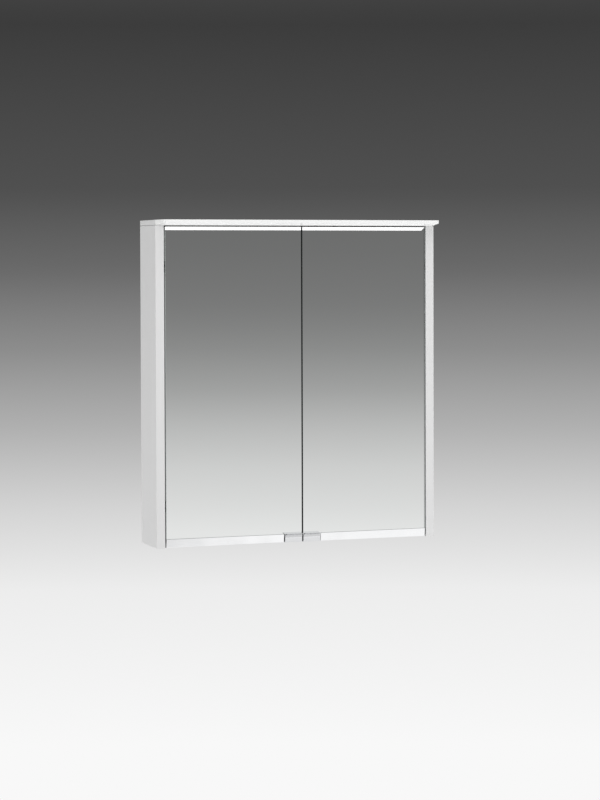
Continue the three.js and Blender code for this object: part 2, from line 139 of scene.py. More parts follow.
@dataclass(frozen=True)
class Finish:
    """A material and how its surface was made.

    Attributes:
        name: The real material's name.
        shade: Its colour, as sRGB hex.
        second: The colour that it wanders towards in broad, soft patches.
        roughness: The middle of its roughness.
        spread: How far the roughness wanders to either side.
        metallic: One for bare metal.
        coat: Weight of a clear top coat.
        grain_mm: Size of its fine relief.
        relief_mm: Height of that relief.
        drawn: How much finer the relief is along X, Y and Z: less than one draws it out.
        patch_mm: Size of the broad patches.
    """

    name: str
    shade: str
    second: str
    roughness: float
    spread: float = 0.03
    metallic: float = 0.0
    coat: float = 0.0
    grain_mm: float = 1.5
    relief_mm: float = 0.01
    drawn: tuple[float, float, float] = (1.0, 1.0, 1.0)
    patch_mm: float = 45.0

    def make(self) -> bpy.types.Material:
        """Makes this finish's material the first time that it is asked for.

        Returns:
            The material.
        """
        known = bpy.data.materials.get(self.name)
        if known is not None:
            return known
        material = bpy.data.materials.new(self.name)
        material.use_nodes = True
        tree = material.node_tree
        shader = tree.nodes["Principled BSDF"]
        shader.inputs["Metallic"].default_value = self.metallic
        shader.inputs["Coat Weight"].default_value = self.coat
        self.dress(tree, shader)
        return material

    def dress(self, tree: bpy.types.NodeTree, shader: bpy.types.Node) -> None:
        """Draws the colour, the roughness and the relief.

        Args:
            tree: The material's node tree.
            shader: Its Principled shader.
        """
        place = add(tree, "TexCoord").outputs["Object"]
        lay = add(tree, "Mapping", {"Vector": place, "Scale": self.drawn}).outputs["Vector"]
        patches = add(tree, "TexNoise", {"Vector": place, "Scale": per_mm(self.patch_mm), "Detail": 4.0,
                                         "Roughness": 0.55}).outputs["Fac"]
        grain = add(tree, "TexNoise", {"Vector": lay, "Scale": per_mm(self.grain_mm), "Detail": 3.0,
                                       "Roughness": 0.5}).outputs["Fac"]
        wander = add(tree, "MapRange", {"Value": patches, "From Min": 0.3, "From Max": 0.7,
                                        "To Min": max(0.0, self.roughness - self.spread),
                                        "To Max": self.roughness + self.spread})
        tree.links.new(wander.outputs["Result"], shader.inputs["Roughness"])
        colour = add(tree, "Mix", {MIX_FACTOR: patches, MIX_A: linear(self.shade),
                                   MIX_B: linear(self.second)}, data_type="RGBA")
        tree.links.new(colour.outputs[MIX_RESULT], shader.inputs["Base Color"])
        if self.relief_mm > 0:
            relief = add(tree, "Bump", {"Height": grain, "Strength": 1.0, "Distance": self.relief_mm * MM})
            tree.links.new(relief.outputs["Normal"], shader.inputs["Normal"])


@dataclass(frozen=True)
class Glass(Finish):
    """Clear float glass.

    Attributes:
        ior: Its refractive index.
    """

    ior: float = 1.52

    def dress(self, tree: bpy.types.NodeTree, shader: bpy.types.Node) -> None:
        """Draws the surface as any finish's, then lets light through it.

        Args:
            tree: The material's node tree.
            shader: Its Principled shader.
        """
        super().dress(tree, shader)
        shader.inputs["IOR"].default_value = self.ior
        shader.inputs["Transmission Weight"].default_value = 1.0


@dataclass(frozen=True)
class Lit(Finish):
    """A diffusing plastic with light behind it; also a band that glows as a painted reflection.

    Attributes:
        glow: Strength of the light that it gives.
    """

    glow: float = 0.3

    def dress(self, tree: bpy.types.NodeTree, shader: bpy.types.Node) -> None:
        """Draws the surface as any finish's, then lights it evenly.

        Args:
            tree: The material's node tree.
            shader: Its Principled shader.
        """
        super().dress(tree, shader)
        shader.inputs["Emission Color"].default_value = linear(self.shade)
        shader.inputs["Emission Strength"].default_value = self.glow


@dataclass(frozen=True)
class Spangled(Finish):
    """Zinc-plated steel, whose crystals each catch the light at their own angle.

    Attributes:
        crystal_mm: Size of one crystal.
        crystal_shine: How much smoother than the middle the shiniest crystal is.
        crystal_haze: How much rougher the dullest one is.
    """

    crystal_mm: float = 6.0
    crystal_shine: float = 0.1
    crystal_haze: float = 0.12

    def dress(self, tree: bpy.types.NodeTree, shader: bpy.types.Node) -> None:
        """Draws the surface as any finish's, then lets its roughness jump from crystal to crystal.

        Args:
            tree: The material's node tree.
            shader: Its Principled shader.
        """
        super().dress(tree, shader)
        place = add(tree, "TexCoord").outputs["Object"]
        crystal = add(tree, "TexVoronoi", {"Vector": place, "Scale": per_mm(self.crystal_mm)})
        level = add(tree, "MapRange", {"Value": crystal.outputs["Color"],
                                       "To Min": self.roughness - self.crystal_shine,
                                       "To Max": self.roughness + self.crystal_haze})
        tree.links.new(level.outputs["Result"], shader.inputs["Roughness"])


# Sprayed and baked lacquer on MDF: an even white whose satin face has a faint orange-peel ripple.
LACQUER = Finish("Satin lacquer on MDF", "#ededed", "#e9e9e9", 0.34, 0.04, coat=0.15, grain_mm=2.2,
                 relief_mm=0.012, patch_mm=120)
# Melamine paper on thin hardboard: flatter and greyer than the lacquer, with a fine paper tooth.
MELAMINE = Finish("Melamine-faced hardboard", "#e9e9e8", "#e1e1df", 0.5, 0.05, grain_mm=0.7, relief_mm=0.02,
                  patch_mm=80)
# Silver behind float glass: all but full reflection, the faintest green and a breath of wiping haze.
SILVERED = Finish("Silvered float glass", "#fbfcfb", "#f9fbfa", 0.008, 0.006, metallic=1.0, grain_mm=40,
                  relief_mm=0.0, patch_mm=160)
# Painted shade: a strip of silver along the right mirror's outer edge, still sharp, but darker.
SHADE_MARGIN = Finish("Thinned margin silver", "#d8dad9", "#d1d4d3", 0.012, 0.008, metallic=1.0,
                relief_mm=0.0, patch_mm=20)
# Ground and polished glass edge: paler than the pane, with a hint of green and a soft gleam.
GLASS_EDGE = Finish("Ground glass edge", "#dde5e2", "#cfd9d5", 0.18, 0.05, coat=0.6, grain_mm=0.5,
                    relief_mm=0.002, patch_mm=30)
# Painted shade on the glass edges where the doors meet: dark grey and nearly matt.
MEETING_GLASS_SHADE = Finish("Painted glass edge", "#565c5a", "#4c5250", 0.4, 0.05, grain_mm=0.5, relief_mm=0.002,
                patch_mm=30)
# Painted shade on the core's edge where the doors meet: a graphite grey, a fine dark line between them.
MEETING_CORE_SHADE = Finish("Graphite ABS edging", "#5a5c5e", "#515355", 0.45, 0.05, grain_mm=0.6, relief_mm=0.01,
                patch_mm=30)
# Painted reflection of the canopy along the mirror's head: a white, soft, quite even band that glows.
CANOPY_REFLECTION_GLOW = Lit("Acid-etched lit glass", "#ffffff", "#fbfcfc", 0.45, 0.05, grain_mm=0.4, relief_mm=0.004,
             glow=0.42)
# Opal acrylic: a milky white that glows to its edges and keeps a soft sheen.
OPAL = Lit("Opal acrylic", "#fdfdfd", "#f9faf9", 0.28, 0.03, coat=0.2, relief_mm=0.0, glow=0.04)
# The same acrylic under the light strip, where it glows more than it takes light from the room.
LIT_OPAL = Lit("Opal acrylic under the light", "#c8c8c8", "#c5c6c5", 0.32, 0.03, relief_mm=0.0, glow=0.6)
# Drawn and buffed aluminium: bright, with hair-fine lines along the profile.
BUFFED = Finish("Buffed aluminium", "#fbfbfc", "#f4f5f6", 0.12, 0.04, metallic=1.0, grain_mm=0.35,
                relief_mm=0.004, drawn=(0.02, 1.0, 1.0), patch_mm=60)
# Chrome plate on a zinc casting: a hard, slightly blue mirror with a breath of unevenness.
CHROME = Finish("Chrome plate", "#f1f2f3", "#ebecee", 0.09, 0.02, metallic=1.0, grain_mm=5.0, relief_mm=0.006,
                patch_mm=25)
# Painted shade on the cut ends of the tab and the rail: dull, dark metal.
SHADED_CUT_ENDS = Finish("Blackened cut metal", "#4a4c4f", "#3f4144", 0.5, 0.08, metallic=1.0, grain_mm=0.4,
                   relief_mm=0.02, patch_mm=5)
# Nickel plate on pressed steel: warm grey, with the press's soft texture.
NICKEL = Finish("Nickel-plated steel", "#c3c1bb", "#b2b0aa", 0.27, 0.07, metallic=1.0, grain_mm=0.6,
                relief_mm=0.01, patch_mm=14)
# Zinc plate: cooler and duller than nickel, in small crystals.
ZINC = Spangled("Zinc-plated steel", "#c6cbd0", "#aeb4ba", 0.38, 0.05, metallic=1.0, grain_mm=0.8,
                relief_mm=0.012, patch_mm=12)
# Powder coat on sheet steel: white with a tight, even pebble.
POWDER = Finish("Powder-coated sheet steel", "#ebebeb", "#e5e5e5", 0.42, 0.04, grain_mm=0.9, relief_mm=0.03,
                patch_mm=90)
# Clear float glass: nearly colourless through its face.
SHELF = Glass("Clear float glass", "#f1f8f5", "#ebf5f1", 0.01, 0.008, grain_mm=30, relief_mm=0.0, patch_mm=90)
# Moulded urea plastic, as on sockets: white and even, with a fine spark-eroded tooth.
MOULDED = Finish("Moulded white plastic", "#efefec", "#e8e8e4", 0.36, 0.05, grain_mm=0.5, relief_mm=0.015,
                 patch_mm=25)
# The same plastic in light grey.
MOULDED_GREY = Finish("Moulded grey plastic", "#b4b7b9", "#a7aaad", 0.4, 0.05, grain_mm=0.5, relief_mm=0.015,
                      patch_mm=20)
# Dark PVC: cable sheath and grommet, matt with a slight drag from the die; in the rail slits, painted shade.
PVC = Finish("Dark PVC", "#3a3c3e", "#303234", 0.52, 0.06, grain_mm=0.8, relief_mm=0.02, patch_mm=18)
# Cast polyurethane: a cloudy, rubbery clear dome.
BUFFER = Glass("Clear polyurethane", "#eef1ef", "#e5e9e7", 0.22, 0.05, grain_mm=1.0, relief_mm=0.01,
               patch_mm=6, ior=1.49)
# The studio's painted floor: pale, dead matt and slightly uneven.
FLOOR = Finish("Matt floor paint", "#e0e0e0", "#dadada", 0.85, 0.05, grain_mm=9.0, relief_mm=0.05,
               patch_mm=400)


# ------------------------------------------------------------------ the bench
def drop_all() -> None:
    """Leaves edit mode and selects nothing."""
    if bpy.context.object is not None and bpy.context.object.mode != "OBJECT":
        bpy.ops.object.mode_set(mode="OBJECT")
    bpy.ops.object.select_all(action="DESELECT")


def take(thing: bpy.types.Object) -> None:
    """Selects one object alone and makes it the active one.

    Args:
        thing: The object.
    """
    drop_all()
    thing.select_set(True)
    bpy.context.view_layer.objects.active = thing


class Stock:
    """A piece of material on the bench, worked with the modelling operators."""

    def __init__(self, thing: bpy.types.Object, name: str) -> None:
        """Puts an object on the bench.

        Args:
            thing: The object, whose place goes into its mesh.
            name: Its name from now on.
        """
        self.thing = thing
        thing.name = name
        thing.data.name = name
        take(thing)
        bpy.ops.object.transform_apply(location=True, rotation=True, scale=True)

    @classmethod
    def block(cls, name: str, low: Point, high: Point) -> "Stock":
        """A box between two corners.

        Args:
            name: The piece's name.
            low: Its lowest corner.
            high: Its highest corner.

        Returns:
            The box.
        """
        low, high = Vector(low), Vector(high)
        drop_all()
        bpy.ops.mesh.primitive_cube_add(size=1, location=(low + high) / 2)
        bpy.context.object.scale = high - low
        return cls(bpy.context.object, name)

    @classmethod
    def bar(cls, name: str, axis: Axis, radius: float, start: Point, length: float, sides: int) -> "Stock":
        """A round bar.

        Args:
            name: The piece's name.
            axis: The way that it points.
            radius: Its radius.
            start: The middle of its first end.
            length: How far it runs from there, below zero to run the other way.
            sides: How many flats it is drawn with.

        Returns:
            The bar.
        """
        way = Vector(axis.value)
        turn = Vector(Axis.Z.value).rotation_difference(way)
        drop_all()
        bpy.ops.mesh.primitive_cylinder_add(vertices=sides, radius=radius, depth=abs(length),
                                            location=Vector(start) + way * length / 2,
                                            rotation=turn.to_euler())
        return cls(bpy.context.object, name)

    @classmethod
    def from_node(cls, node: str) -> "Stock":
        """A merged copy of one of the frame's nodes, its flat faces made whole again.

        Args:
            node: The node's name.

        Returns:
            The copy.
        """
        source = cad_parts[node]
        copy = bpy.data.objects.new(f"{node}_made", source.data.copy())
        bpy.context.scene.collection.objects.link(copy)
        copy.data.materials.clear()
        stock = cls(copy, f"{node}_made")
        stock.edit()
        bpy.ops.mesh.select_all(action="SELECT")
        bpy.ops.mesh.remove_doubles(threshold=MERGE)
        bpy.ops.mesh.dissolve_limited(angle_limit=FLAT)
        stock.rest()
        return stock

    def edit(self) -> None:
        """Takes the piece into edit mode."""
        take(self.thing)
        bpy.ops.object.mode_set(mode="EDIT")

    def rest(self) -> None:
        """Leaves edit mode."""
        bpy.ops.object.mode_set(mode="OBJECT")

    def pick_faces(self, test: Test) -> None:
        """Selects faces.

        Args:
            test: Says yes or no to a face's centre and outward direction.
        """
        bpy.ops.mesh.select_mode(type="FACE")
        bpy.ops.mesh.select_all(action="DESELECT")
        mesh = bmesh.from_edit_mesh(self.thing.data)
        for face in mesh.faces:
            face.select_set(test(face.calc_center_median(), face.normal))
        bmesh.update_edit_mesh(self.thing.data)

    def pick_edges(self, test: Test) -> None:
        """Selects edges.

        Args:
            test: Says yes or no to an edge's middle and direction.
        """
        bpy.ops.mesh.select_mode(type="EDGE")
        bpy.ops.mesh.select_all(action="DESELECT")
        mesh = bmesh.from_edit_mesh(self.thing.data)
        for edge in mesh.edges:
            start, end = (corner.co for corner in edge.verts)
            edge.select_set(test((start + end) / 2, (end - start).normalized()))
        bmesh.update_edit_mesh(self.thing.data)

    def extrude(self, move: Point) -> None:
        """Draws the picked faces out by a distance."""
        bpy.ops.mesh.extrude_region_move(TRANSFORM_OT_translate={"value": Vector(move)})

    def shift(self, move: Point) -> None:
        """Moves what is picked."""
        bpy.ops.transform.translate(value=Vector(move))

    def swell(self, by: Point) -> None:
        """Scales what is picked about its own middle."""
        bpy.ops.transform.resize(value=Vector(by))

    def inset(self, rim: float) -> None:
        """Draws a rim inside the picked faces."""
        bpy.ops.mesh.inset(thickness=rim)

    def round_over(self, radius: float, steps: int) -> None:
        """Rounds the picked edges."""
        bpy.ops.mesh.bevel(offset=radius, segments=steps, affect="EDGES")

    def slice(self, point: Point, across: Point) -> None:
        """Cuts new edges where a plane meets the piece.

        Args:
            point: A point in the plane.
            across: The plane's normal.
        """
        bpy.ops.mesh.select_mode(type="FACE")
        bpy.ops.mesh.select_all(action="SELECT")
        bpy.ops.mesh.bisect(plane_co=Vector(point), plane_no=Vector(across))

    def cut_with(self, tool: "Stock") -> None:
        """Takes another piece's volume out of this one, and puts that piece away.

        Args:
            tool: The other piece.
        """
        take(self.thing)
        bpy.ops.object.modifier_add(type="BOOLEAN")
        cut = self.thing.modifiers[-1]
        cut.operation = "DIFFERENCE"
        cut.solver = "EXACT"
        cut.object = tool.thing
        bpy.ops.object.modifier_apply(modifier=cut.name)
        bpy.data.objects.remove(tool.thing)

    def copies(self, name: str, places: Iterable[Matrix]) -> "Stock":
        """Makes one piece of this one's copies.

        Args:
            name: The new piece's name.
            places: Where each copy goes.

        Returns:
            The copies, as one piece.
        """
        made = []
        for place in places:
            copy = bpy.data.objects.new(name, self.thing.data.copy())
            copy.data.transform(place)
            bpy.context.scene.collection.objects.link(copy)
            made.append(copy)
        drop_all()
        for copy in made:
            copy.select_set(True)
        bpy.context.view_layer.objects.active = made[0]
        if len(made) > 1:
            bpy.ops.object.join()
        return Stock(bpy.context.object, name)

    def break_edges(self, width: float, steps: int = 3, corner: float = 30.0) -> None:
        """Takes the sharpness off every corner, and lets the flat faces stay flat in the light.

        Args:
            width: How far the rounding reaches from the corner.
            steps: How many facets it has.
            corner: The angle, in degrees, from which a corner counts as sharp.
        """
        take(self.thing)
        bpy.ops.object.modifier_add(type="BEVEL")
        bevel = self.thing.modifiers[-1]
        bevel.width = width
        bevel.segments = steps
        bevel.limit_method = "ANGLE"
        bevel.angle_limit = math.radians(corner)
        bevel.use_clamp_overlap = True
        bpy.ops.object.modifier_apply(modifier=bevel.name)
        bpy.ops.object.shade_smooth_by_angle(angle=SMOOTH)
        bpy.ops.object.modifier_add(type="WEIGHTED_NORMAL")
        weight = self.thing.modifiers[-1]
        weight.keep_sharp = True
        bpy.ops.object.modifier_apply(modifier=weight.name)

    def coat(self, finish: Finish, *others: tuple[Finish, Test]) -> None:
        """Gives the piece its finish, and other finishes to the faces that pass their tests.

        Args:
            finish: The finish of the whole piece.
            *others: A finish and the test for the faces that take it.
        """
        self.thing.data.materials.clear()
        self.thing.data.materials.append(finish.make())
        for index, (other, test) in enumerate(others, start=1):
            self.thing.data.materials.append(other.make())
            for face in self.thing.data.polygons:
                if test(face.center, face.normal):
                    face.material_index = index


def fit(stock: Stock, body: str, slot: str, *nodes: str) -> None:
    """Puts a finished piece on the cabinet.

    Args:
        stock: The piece.
        body: The body that it moves with.
        slot: The name of a material slot; not used.
        *nodes: The frame's nodes that it stands for.
    """
    drop_all()
    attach(stock.thing, body)
    if nodes:
        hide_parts(*nodes)
    log.info("%s: %d faces on %s", stock.thing.name, len(stock.thing.data.polygons), body)


def refit(node: str, body: str, slot: str, finish: Finish, edge: float, steps: int = 3,
          *others: tuple[Finish, Test]) -> None:
    """Fits a node's own shape again with its corners broken and its finish on.

    Args:
        node: The node.
        body: The body that it moves with.
        slot: The name of a material slot, handed to fit, which does not use it.
        finish: The finish of the whole piece.
        edge: How far the rounding reaches from each corner.
        steps: How many facets the rounding has.
        *others: A finish and the test for the faces that take it.
    """
    stock = Stock.from_node(node)
    stock.break_edges(edge, steps)
    stock.coat(finish, *others)
    fit(stock, body, slot, node)


# ------------------------------------------------------------------ fixings
class Drive(Enum):
    """How far a screw's head stands proud of what it holds, in its own radii."""

    PAN = 0.55
    SUNK = 0.12


@dataclass
class Screws:
    """A set of equal cross-recessed screws.

    Attributes:
        name: The set's name.
        body: The body that they hold to.
        slot: The name of a slot for their metal, handed to fit, which does not use it.
        radius: Radius of each head.
        drive: Whether the heads stand proud or lie flush.
        finish: Their metal.
        foot: How far each head reaches below its seat, in radii.
        crown: Rounding of each head's rim, in heads' heights.
        cross: Half length, half width and depth of the recess, in radii.
        turn: How much further each screw is turned than the one before, in radians.
        wear: Rounding of its edges, in radii.
    """

    name: str
    body: str
    slot: str
    radius: float = 3.2 * MM
    drive: Drive = Drive.PAN
    finish: Finish = NICKEL
    foot: float = 0.3
    crown: float = 0.7
    cross: tuple[float, float, float] = (0.62, 0.13, 0.35)
    turn: float = 0.7
    wear: float = 0.08

    def head(self) -> Stock:
        """Models one head.

        Returns:
            The head, standing on the origin and facing up.
        """
        height = self.radius * self.drive.value
        stock = Stock.bar(self.name, Axis.Z, self.radius, (0, 0, -self.foot * self.radius),
                          height + self.foot * self.radius, SMALL_ROUND)
        stock.edit()
        stock.pick_edges(lambda middle, way: middle.z > height - NEAR and abs(way.z) < HARDLY)
        stock.round_over(height * self.crown, steps=3)
        stock.rest()
        reach, slot, depth = (self.radius * share for share in self.cross)
        for wide, deep in ((reach, slot), (slot, reach)):
            stock.cut_with(Stock.block("cross", (-wide, -deep, height - depth),
                                       (wide, deep, height + self.radius)))
        return stock

    def drive_in(self, spots: Iterable[tuple[Point, Point]]) -> None:
        """Puts the screws in.

        Args:
            spots: Where each head sits, and the way that it faces.
        """
        model = self.head()
        places = []
        for index, (point, way) in enumerate(spots):
            face = Vector(Axis.Z.value).rotation_difference(Vector(way)).to_matrix().to_4x4()
            places.append(Matrix.Translation(point) @ face @ Matrix.Rotation(self.turn * index, 4, "Z"))
        stock = model.copies(self.name, places)
        bpy.data.objects.remove(model.thing)
        stock.break_edges(self.wear * self.radius, steps=2, corner=50)
        stock.coat(self.finish)
        fit(stock, self.body, self.slot)


# ------------------------------------------------------------------ sub-assemblies
@dataclass
class Carcass:
    """The boards, the back and what hangs them on the wall.

    Attributes:
        edge: Rounding of the boards' edges.
        line_height: Height of the shadow line at the foot of the top board's ends.
        line_depth: How deep that line runs in.
        hanger_x: How far the hangers' screws stand from the cabinet's middle.
        hanger_face: How far their seat stands in front of the cabinet's back.
        hanger_step: How far they stand above and below the hanger's middle.
        back_screws: How many screws hold each side of the back panel.
        screw_in: How far the lower row stands in from the panel's edge.
        screw_side: How far the side rows stand in.
        screw_sink: How deep their seats lie in the panel.
    """

    edge: float = 0.7 * MM
    line_height: float = 1.1 * MM
    line_depth: float = 3.0 * MM
    hanger_x: float = 284 * MM
    hanger_face: float = 24.6 * MM
    hanger_step: float = 8 * MM
    back_screws: int = 5
    screw_in: float = 8 * MM
    screw_side: float = 4 * MM
    screw_sink: float = 0.25 * MM

    def build(self) -> None:
        """Makes every piece of the carcass."""
        for side in Side:
            refit(f"side_panel_{side.word}", "cabinet", "white_lacquer", LACQUER, self.edge)
            self.hang(side)
        self.top()
        refit("bottom_board", "cabinet", "white_lacquer", LACQUER, self.edge)
        refit("back_panel", "cabinet", "white_lacquer", MELAMINE, edge=0.3 * MM, steps=2)
        refit("cable_grommet", "cabinet", "dark_plastic", PVC, edge=0.6 * MM)
        self.fix_back()

    def top(self) -> None:
        """The top board, with a fine shadow line worked into the foot of each end."""
        low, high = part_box("top_board")
        stock = Stock.from_node("top_board")
        for side in Side:
            near, far = sorted((side.value * (high.x - self.line_depth), side.value * (high.x + OVER)))
            stock.cut_with(Stock.block("line", (near, low.y - OVER, low.z - OVER),
                                       (far, high.y + OVER, low.z + self.line_height)))
        stock.break_edges(self.edge)
        stock.coat(LACQUER)
        fit(stock, "cabinet", "white_lacquer", "top_board")

    def hang(self, side: Side) -> None:
        """Makes one hanger, with the screws that raise it and hold it to the wall rail.

        Args:
            side: The hanger's hand.
        """
        node = f"hanger_{side.word}"
        refit(node, "cabinet", "zinc_plated_steel", ZINC, edge=0.5 * MM)
        low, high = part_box(node)
        middle = (low.z + high.z) / 2
        spots = [((side.value * self.hanger_x, -self.hanger_face, middle + step), (0, -1, 0))
                 for step in (-self.hanger_step, self.hanger_step)]
        Screws(f"hanger_screws_{side.word}", "cabinet", "zinc_plated_steel", 2.3 * MM).drive_in(spots)

    def fix_back(self) -> None:
        """Screws the back panel to the boards around it."""
        low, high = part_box("back_panel")
        sides = (low.x + self.screw_side, high.x - self.screw_side)
        seat = -self.screw_sink
        spots = []
        for step in range(self.back_screws):
            share = (step + 0.5) / self.back_screws
            height = low.z + (high.z - low.z) * share
            spots += [((x, seat, height), (0, 1, 0)) for x in sides]
            spots.append(((low.x + (high.x - low.x) * share, seat, low.z + self.screw_in), (0, 1, 0)))
        Screws("back_panel_screws", "cabinet", "nickelled_steel", 2.8 * MM, Drive.SUNK).drive_in(spots)


@dataclass
class Canopy:
    """The lit profile in front of the top board.

    Attributes:
        sheet: Thickness of the housing.
        wall: Thickness of the diffuser.
        edge: Rounding of the acrylic's corners.
        rise: How far the underside climbs from the doors to the front.
        run_in: How far each end cap runs in towards the front.
        joint: Width of the joint line under the end caps.
    """

    sheet: float = 2.5 * MM
    wall: float = 2.3 * MM
    edge: float = 0.8 * MM
    rise: float = 4 * MM
    run_in: float = 6 * MM
    joint: float = 1.0 * MM

    def build(self) -> None:
        """Makes the housing, the diffuser, the strip and both end caps."""
        self.housing()
        self.diffuser()
        for side in Side:
            self.end_cap(side)
        refit("led_strip", "cabinet", "white_plastic", MOULDED, edge=0.3 * MM)

    def housing(self) -> None:
        """A top plate with its rear edge folded down."""
        low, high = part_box("canopy_housing")
        stock = Stock.block("canopy_housing_made", (low.x, low.y, high.z - self.sheet), high)
        stock.edit()
        fold = high.y - self.sheet
        stock.slice((0, fold, 0), Axis.Y.value)
        stock.pick_faces(lambda middle, way: way.z < -MOSTLY and middle.y > fold)
        stock.extrude((0, 0, low.z - high.z + self.sheet))
        stock.rest()
        stock.break_edges(0.5 * MM)
        stock.coat(POWDER)
        fit(stock, "cabinet", "white_sheet_metal", "canopy_housing")

    def diffuser(self) -> None:
        """A front wall whose foot runs back and down to the doors' heads."""
        low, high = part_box("canopy_diffuser")
        foot = low.z + self.rise * (high.y - low.y) / (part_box("canopy_housing")[1].y - low.y)
        stock = Stock.block("canopy_diffuser_made", (low.x, low.y, foot), (high.x, low.y + self.wall, high.z))
        stock.edit()
        stock.slice((0, 0, foot + self.wall), Axis.Z.value)
        stock.pick_faces(lambda middle, way: way.y > MOSTLY and middle.z < foot + self.wall)
        stock.extrude((0, high.y - low.y - self.wall, low.z - foot))
        stock.rest()
        stock.break_edges(self.edge, steps=4)
        stock.coat(OPAL, (LIT_OPAL, lambda middle, way: way.z < -MOSTLY))
        fit(stock, "cabinet", "opal_acrylic", "canopy_diffuser")

    def end_cap(self, side: Side) -> None:
        """A cap that runs in towards the front, with the diffuser's slope under it.

        Args:
            side: The cap's hand.
        """
        node = f"canopy_end_cap_{side.word}"
        low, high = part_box(node)
        outer = high.x if side is Side.RIGHT else low.x
        low.z += self.joint
        stock = Stock.block(f"{node}_made", low, high)
        stock.edit()
        stock.pick_edges(lambda middle, way: abs(way.z) > ALONG and abs(middle.x - outer) < NEAR
                         and middle.y < low.y + NEAR)
        stock.shift((-side.value * self.run_in, 0, 0))
        stock.pick_edges(lambda middle, way: abs(way.z) < HARDLY and abs(middle.y - low.y) < NEAR
                         and middle.z < low.z + NEAR)
        stock.shift((0, 0, self.rise))
        stock.rest()
        stock.break_edges(self.edge, steps=4)
        stock.coat(OPAL)
        fit(stock, "cabinet", "opal_acrylic", node)


@dataclass
class Wiring:
    """The covered space under the top board, and the socket with its switch.

    Attributes:
        fold: Rounding of the cover's folds.
        clip: Width, length and thickness of an earth clip.
        clip_in: How far a clip's root stands in from the well's wall.
        clip_back: How far behind the well's mouth a clip starts.
        spring: How far a clip's tip springs in.
        tuck: How far a clip's tip is drawn back.
        cover_shares: Where the cover's screws sit, in shares of its width from its middle.
        cover_drop: How far they sit below its top.
    """

    fold: float = 0.5 * MM
    clip: tuple[float, float, float] = (5 * MM, 9 * MM, 1.2 * MM)
    clip_in: float = 1.9 * MM
    clip_back: float = 3 * MM
    spring: float = 3.2 * MM
    tuck: float = 2.0 * MM
    cover_shares: tuple[float, ...] = (-0.44, -0.15, 0.15, 0.44)
    cover_drop: float = 12 * MM

    def build(self) -> None:
        """Makes the cover, the driver with its lead, and the socket."""
        refit("service_cover", "cabinet", "white_sheet_metal", POWDER, self.fold)
        refit("led_driver", "cabinet", "white_plastic", MOULDED, edge=1.2 * MM)
        refit("led_lead", "cabinet", "dark_plastic", PVC, edge=0.2 * MM, steps=2)
        refit("socket_housing", "cabinet", "white_plastic", MOULDED, edge=1.1 * MM, steps=4)
        refit("socket_insert", "cabinet", "grey_plastic", MOULDED_GREY, edge=0.5 * MM)
        refit("rocker_switch", "rocker", "white_plastic", MOULDED, edge=0.9 * MM, steps=4)
        self.earth_clips()
        self.cover_screws()

    def earth_clips(self) -> None:
        """Two sprung clips at the top and the bottom of the socket's well."""
        low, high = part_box("socket_insert")
        centre = (low + high) / 2
        width, length, sheet = self.clip
        for word, sign in (("upper", 1), ("lower", -1)):
            root = centre.z + sign * ((high.z - low.z) / 2 - self.clip_in)
            under, over = sorted((root, root - sign * sheet))
            front = low.y + self.clip_back
            stock = Stock.block(f"earth_clip_{word}", (centre.x - width / 2, front, under),
                                (centre.x + width / 2, front + length, over))
            stock.edit()
            stock.pick_edges(lambda middle, way: abs(way.x) > ALONG and middle.y < front + NEAR)
            stock.shift((0, self.tuck, -sign * self.spring))
            stock.rest()
            stock.break_edges(0.3 * MM)
            stock.coat(NICKEL)
            fit(stock, "cabinet", "nickelled_steel")

    def cover_screws(self) -> None:
        """Holds the service cover's face to the board above it."""
        low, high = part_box("service_cover")
        spots = [(((high.x - low.x) * share, low.y, high.z - self.cover_drop), (0, -1, 0))
                 for share in self.cover_shares]
        Screws("service_cover_screws", "cabinet", "nickelled_steel", 2.6 * MM).drive_in(spots)


@dataclass
class Shelves:
    """The glass shelves and the pins under them.

    Attributes:
        corner: Radius of a shelf's front corners.
        shank: Radius and length of a pin's shank, which sits in the board.
        collar: Radius and length of its collar, which stops against the board.
        nose: Radius and length of its nose, which carries the glass.
        levels: The shelves, as the nodes spell them.
    """

    corner: float = 5 * MM
    shank: tuple[float, float] = (2.3 * MM, 8.8 * MM)
    collar: tuple[float, float] = (4.0 * MM, 1.3 * MM)
    nose: tuple[float, float] = (2.8 * MM, 8.4 * MM)
    levels: tuple[str, ...] = ("lower", "upper")

    def build(self) -> None:
        """Makes every shelf with its four pins."""
        for level in self.levels:
            self.shelf(level)
            for side in Side:
                for place in ("front", "rear"):
                    self.pin(f"shelf_pin_{level}_{side.word}_{place}", side)

    def shelf(self, level: str) -> None:
        """A pane with rounded front corners and a ground edge.

        Args:
            level: Which shelf it is.
        """
        node = f"glass_shelf_{level}"
        low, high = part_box(node)
        stock = Stock.block(f"{node}_made", low, high)
        stock.edit()
        stock.pick_edges(lambda middle, way: abs(way.z) > ALONG and middle.y < low.y + NEAR)
        stock.round_over(self.corner, steps=8)
        stock.rest()
        stock.break_edges(0.5 * MM, steps=2, corner=60)
        stock.coat(SHELF, (GLASS_EDGE, lambda middle, way: abs(way.z) < MOSTLY))
        fit(stock, "cabinet", "shelf_glass", node)

    def pin(self, node: str, side: Side) -> None:
        """A turned pin: shank in the board, collar against it, nose under the glass.

        Args:
            node: The pin's node.
            side: The board that it sits in.
        """
        low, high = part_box(node)
        centre = (low + high) / 2
        inward = -side.value
        end = low.x if inward > 0 else high.x
        was, length = self.shank
        stock = Stock.bar(f"{node}_made", Axis.X, was, (end, centre.y, centre.z), inward * length,
                          SMALL_ROUND)
        stock.edit()
        stock.pick_faces(lambda middle, way: way.x * inward > ALONG)
        for radius, length in (self.collar, self.nose):
            stock.extrude((0, 0, 0))
            stock.swell((1, radius / was, radius / was))
            stock.extrude((inward * length, 0, 0))
            was = radius
        stock.rest()
        stock.break_edges(0.35 * MM)
        stock.coat(NICKEL)
        fit(stock, "cabinet", "nickelled_steel", node)


